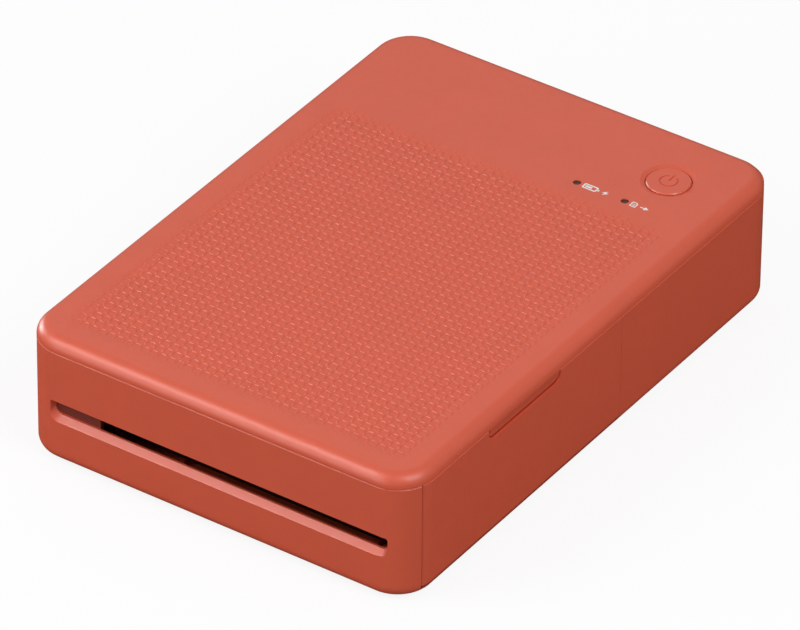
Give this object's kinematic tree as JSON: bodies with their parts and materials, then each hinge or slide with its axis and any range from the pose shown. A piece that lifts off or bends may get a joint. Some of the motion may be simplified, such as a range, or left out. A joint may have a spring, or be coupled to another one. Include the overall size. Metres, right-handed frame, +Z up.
{
  "type": "compact photo printer",
  "caption": "Compact photo printer with a hinged top cover over its paper tray, a side door for the ink cassette, a print slot and a sprung power button.",
  "frame": {"origin": "centre of the footprint, on the surface that the feet stand on", "axes": "+Z up, +X to the right, -Y to the front with the print slot"},
  "size_m": [0.1022, 0.1458, 0.0329],
  "materials": {
    "casing_plastic": "fine moulded grain, terracotta red",
    "rubber": "black rubber",
    "steel": "zinc plated sheet and ground rod",
    "dark_red_plastic": "dark terracotta moulded plastic",
    "dark_plastic": "black moulded plastic",
    "cassette_plastic": "dark grey moulded plastic",
    "gear_plastic": "white acetal",
    "spool_plastic": "ivory moulded plastic",
    "board": "green circuit board",
    "brass": "turned brass",
    "aluminium": "extruded",
    "ceramic": "glazed ceramic",
    "led_lens": "clear white",
    "smoked_lens": "smoked light pipe",
    "cable": "flat white cable",
    "ribbon": "dark dye film"
  },
  "bodies": {
    "base": {"body_shell": "casing_plastic", "bottom_cover": "casing_plastic", "rubber_feet": "rubber", "casing_screws": "steel", "lid_hinge_pins": "steel", "door_hinge_pins": "steel", "power_switch": "steel", "indicator_leds": "led_lens", "button_board": "board", "board_pillars": "brass", "main_board": "board", "board_chips": "dark_plastic", "board_screws": "steel", "usb_port": "steel", "slot_end": "dark_red_plastic", "battery_pack": "dark_plastic", "chassis_left": "steel", "chassis_right": "steel", "gear_plate": "steel", "paper_tray": "dark_plastic", "outer_guide": "dark_plastic", "inner_guide": "dark_plastic", "idler_stud": "steel", "pinch_shaft": "steel", "feed_motor": "steel", "ribbon_motor": "steel", "shaft_bushes": "brass", "head_pivot": "steel", "head_springs": "steel", "head_cable": "cable"},
    "lid": {"top_cover": "casing_plastic", "button_retainer": "dark_plastic", "button_spring": "steel", "light_pipes": "smoked_lens", "plate_spring": "steel"},
    "press_flap": {"pressure_plate": "steel"},
    "door": {"cassette_door": "casing_plastic"},
    "button": {"power_button": "casing_plastic"},
    "plunger": {"switch_plunger": "dark_plastic"},
    "feed": {"feed_roller": "steel", "feed_gear": "gear_plastic"},
    "feed_drive": {"feed_pinion": "brass"},
    "idler": {"idler_gear": "gear_plastic"},
    "pickup": {"pickup_roller": "rubber", "pickup_shaft": "steel", "pickup_gear": "gear_plastic"},
    "pinch": {"pinch_roller": "rubber"},
    "platen": {"platen_roller": "rubber", "platen_shaft": "steel"},
    "head": {"print_head": "ceramic", "heat_sink": "aluminium", "head_arm": "steel"},
    "takeup_drive": {"takeup_gear": "gear_plastic"},
    "ribbon_drive": {"ribbon_pinion": "brass"},
    "cassette": {"cassette_case": "cassette_plastic", "ribbon_film": "ribbon"},
    "supply": {"supply_spool": "spool_plastic", "supply_roll": "ribbon"},
    "takeup": {"takeup_spool": "spool_plastic", "takeup_roll": "ribbon"}
  },
  "joints": [
    {"name": "top_cover_hinge", "type": "hinge", "parent": "base", "child": "lid", "pos_m": [0, 0.0709, 0.0289], "axis": [-1, 0, 0], "range_deg": [0, 70]},
    {"name": "pressure_plate_swing", "type": "hinge", "parent": "lid", "child": "press_flap", "pos_m": [0, -0.046, 0.0297], "axis": [1, 0, 0], "range_deg": [0, 3.5], "stiffness_Nm_per_rad": 0.04, "springref_deg": -17.19, "deforming": ["plate_spring"]},
    {"name": "cassette_door_hinge", "type": "hinge", "parent": "base", "child": "door", "pos_m": [0.0493, -0.0289, 0.00465], "axis": [0, 1, 0], "range_deg": [0, 90]},
    {"name": "power_button_press", "type": "slide", "parent": "lid", "child": "button", "axis": [0, 0, -1], "range_m": [0, 0.0006], "stiffness_N_per_m": 600, "springref_m": -0.0005, "deforming": ["button_spring"]},
    {"name": "switch_plunger_press", "type": "slide", "parent": "base", "child": "plunger", "axis": [0, 0, -1], "range_m": [0, 0.0006]},
    {"name": "cassette_release", "type": "slide", "parent": "base", "child": "cassette", "axis": [1, 0, 0], "range_m": [0, 0.0015]},
    {"name": "feed_roller_spin", "type": "hinge", "parent": "base", "child": "feed", "pos_m": [0, 0.014, 0.0132], "axis": [1, 0, 0], "continuous": true},
    {"name": "feed_pinion_spin", "type": "hinge", "parent": "base", "child": "feed_drive", "pos_m": [0, 0.02352, 0.01237], "axis": [1, 0, 0], "continuous": true},
    {"name": "idler_spin", "type": "hinge", "parent": "base", "child": "idler", "pos_m": [0, 0.00881, 0.02152], "axis": [1, 0, 0], "continuous": true},
    {"name": "pickup_spin", "type": "hinge", "parent": "base", "child": "pickup", "pos_m": [0, 0.001, 0.0218], "axis": [1, 0, 0], "continuous": true},
    {"name": "pinch_roller_spin", "type": "hinge", "parent": "base", "child": "pinch", "pos_m": [0, 0.014, 0.0179], "axis": [1, 0, 0], "continuous": true},
    {"name": "platen_spin", "type": "hinge", "parent": "base", "child": "platen", "pos_m": [0, -0.028, 0.0196], "axis": [1, 0, 0], "continuous": true},
    {"name": "head_lift", "type": "hinge", "parent": "base", "child": "head", "pos_m": [0, -0.012, 0.0058], "axis": [-1, 0, 0], "range_deg": [0, 6.2], "deforming": ["head_springs"]},
    {"name": "takeup_drive_spin", "type": "hinge", "parent": "base", "child": "takeup_drive", "pos_m": [0, 0.0002, 0.0092], "axis": [1, 0, 0], "continuous": true},
    {"name": "ribbon_pinion_spin", "type": "hinge", "parent": "base", "child": "ribbon_drive", "pos_m": [0, -0.00878, 0.01247], "axis": [1, 0, 0], "continuous": true},
    {"name": "takeup_spool_spin", "type": "hinge", "parent": "cassette", "child": "takeup", "pos_m": [0, 0.0002, 0.0092], "axis": [1, 0, 0], "continuous": true},
    {"name": "supply_spool_spin", "type": "hinge", "parent": "cassette", "child": "supply", "pos_m": [0, -0.0568, 0.0092], "axis": [1, 0, 0], "continuous": true}
  ],
  "couplings": [
    {"joint": "switch_plunger_press", "follows": "power_button_press", "ratio": 1},
    {"joint": "feed_pinion_spin", "follows": "feed_roller_spin", "ratio": -1.7143},
    {"joint": "idler_spin", "follows": "feed_roller_spin", "ratio": -1.6},
    {"joint": "pickup_spin", "follows": "feed_roller_spin", "ratio": 1.5},
    {"joint": "pinch_roller_spin", "follows": "feed_roller_spin", "ratio": -1.0455},
    {"joint": "ribbon_pinion_spin", "follows": "takeup_drive_spin", "ratio": -1.7143},
    {"joint": "takeup_spool_spin", "follows": "takeup_drive_spin", "ratio": 1},
    {"joint": "supply_spool_spin", "follows": "takeup_drive_spin", "ratio": 0.72727}
  ]
}
